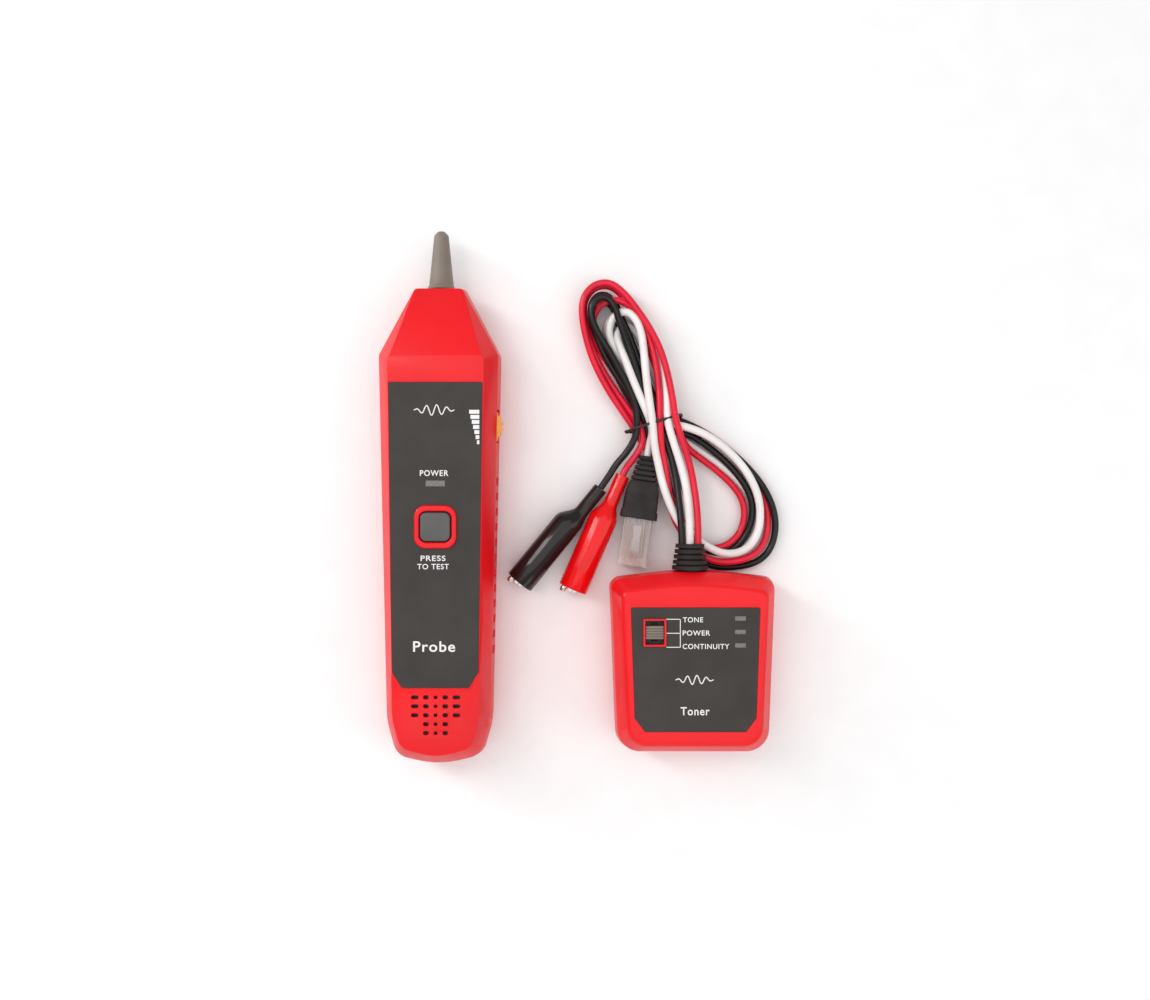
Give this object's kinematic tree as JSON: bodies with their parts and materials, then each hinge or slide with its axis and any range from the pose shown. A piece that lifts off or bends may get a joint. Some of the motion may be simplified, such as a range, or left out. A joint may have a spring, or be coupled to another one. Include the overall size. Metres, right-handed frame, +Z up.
{
  "type": "tone probe kit",
  "caption": "Cable tracing kit: a hand-held probe with a tapered tip, button, volume wheel and speaker, and a toner whose lead ends in crocodile clips and a modular plug.",
  "frame": {"origin": "under the middle of the two housings, on the surface that they lie on", "axes": "+Y along the probe toward its tip, +X from the probe to the toner, +Z up out of the front faces"},
  "size_m": [0.1614, 0.2122, 0.0304],
  "materials": {
    "red_housing": "moulded ABS, fine satin grain",
    "dark_label": "printed overlay, matt",
    "grey_plastic": "moulded, matt",
    "orange_plastic": "moulded, knurled",
    "lens_grey": "smoked window",
    "lamp": "clear tinted",
    "circuit_board": "solder mask",
    "switch_plastic": "moulded",
    "speaker_steel": "plated frame",
    "battery_case": "printed steel jacket",
    "black_pvc": "soft PVC, glossy",
    "red_pvc": "soft PVC, glossy",
    "white_pvc": "soft PVC, satin",
    "hank_mixed": "three PVC leads",
    "steel": "plated",
    "clear_plastic": "clear polycarbonate",
    "contact_gold": "gold plated"
  },
  "bodies": {
    "probe": {"probe_front_shell": "red_housing", "probe_back_shell": "red_housing", "probe_label": "dark_label", "probe_tip": "grey_plastic", "tip_antenna": "steel", "probe_circuit_board": "circuit_board", "probe_led": "lamp", "probe_led_window": "lens_grey", "test_switch": "switch_plastic", "volume_pot": "switch_plastic", "speaker": "speaker_steel", "probe_battery": "battery_case", "probe_battery_snap": "switch_plastic", "probe_case_screws": "steel"},
    "test_button": {"test_button": "grey_plastic"},
    "volume_wheel": {"volume_wheel": "orange_plastic"},
    "probe_battery_door": {"probe_battery_door": "red_housing"},
    "toner": {"toner_front_shell": "red_housing", "toner_back_shell": "red_housing", "toner_label": "dark_label", "toner_circuit_board": "circuit_board", "toner_led_windows": "lens_grey", "toner_leds": "lamp", "slide_switch_body": "switch_plastic", "toner_battery": "battery_case", "toner_battery_snap": "switch_plastic", "toner_case_screws": "steel", "cable_gland": "black_pvc", "lead_hank": "hank_mixed", "hank_tie": "black_pvc", "red_lead_root": "red_pvc", "red_lead_end": "red_pvc", "white_lead_root": "white_pvc", "white_lead_end": "white_pvc", "black_lead_root": "black_pvc", "black_lead_end": "black_pvc", "red_clip_boot": "red_pvc", "red_clip_fixed_jaw": "steel", "red_clip_pin": "steel", "red_clip_spring": "steel", "black_clip_boot": "black_pvc", "black_clip_fixed_jaw": "steel", "black_clip_pin": "steel", "black_clip_spring": "steel", "plug_boot": "black_pvc", "plug_body": "clear_plastic", "plug_contacts": "contact_gold", "plug_cores": "white_pvc"},
    "mode_switch_knob": {"mode_switch_knob": "grey_plastic"},
    "toner_battery_door": {"toner_battery_door": "red_housing"},
    "red_clip_jaw": {"red_clip_jaw": "steel"},
    "black_clip_jaw": {"black_clip_jaw": "steel"},
    "plug_latch": {"plug_latch": "clear_plastic"}
  },
  "joints": [
    {"name": "button_press", "type": "slide", "parent": "probe", "child": "test_button", "axis": [0, 0, -1], "range_m": [0, 0.0012], "stiffness_N_per_m": 600, "springref_m": -0.0008},
    {"name": "volume_turn", "type": "hinge", "parent": "probe", "child": "volume_wheel", "pos_m": [-0.03714, 0.0273, 0.0179], "axis": [0, 0, 1], "range_deg": [-140, 140]},
    {"name": "probe_door_slide", "type": "slide", "parent": "probe", "child": "probe_battery_door", "axis": [0, -1, 0], "range_m": [0, 0.062]},
    {"name": "toner_set_aside", "type": "slide", "parent": "probe", "child": "toner", "axis": [1, 0, 0], "range_m": [0, 0.06]},
    {"name": "mode_slide", "type": "slide", "parent": "toner", "child": "mode_switch_knob", "axis": [0, 1, 0], "range_m": [-0.0021, 0.0021]},
    {"name": "toner_door_slide", "type": "slide", "parent": "toner", "child": "toner_battery_door", "axis": [0, -1, 0], "range_m": [0, 0.062]},
    {"name": "red_jaw_open", "type": "hinge", "parent": "toner", "child": "red_clip_jaw", "pos_m": [0.00534, -0.02206, 0.006], "axis": [0, 0, 1], "range_deg": [0, 6], "stiffness_Nm_per_rad": 0.05, "springref_deg": -17.19},
    {"name": "black_jaw_open", "type": "hinge", "parent": "toner", "child": "black_clip_jaw", "pos_m": [-0.01227, -0.02175, 0.006], "axis": [0, 0, 1], "range_deg": [0, 6], "stiffness_Nm_per_rad": 0.05, "springref_deg": -17.19},
    {"name": "latch_press", "type": "hinge", "parent": "toner", "child": "plug_latch", "pos_m": [0.0226, -0.02628, 0.0094], "axis": [-0.989, 0.1478, 0], "range_deg": [0, 5], "stiffness_Nm_per_rad": 0.02, "springref_deg": -2.86}
  ]
}
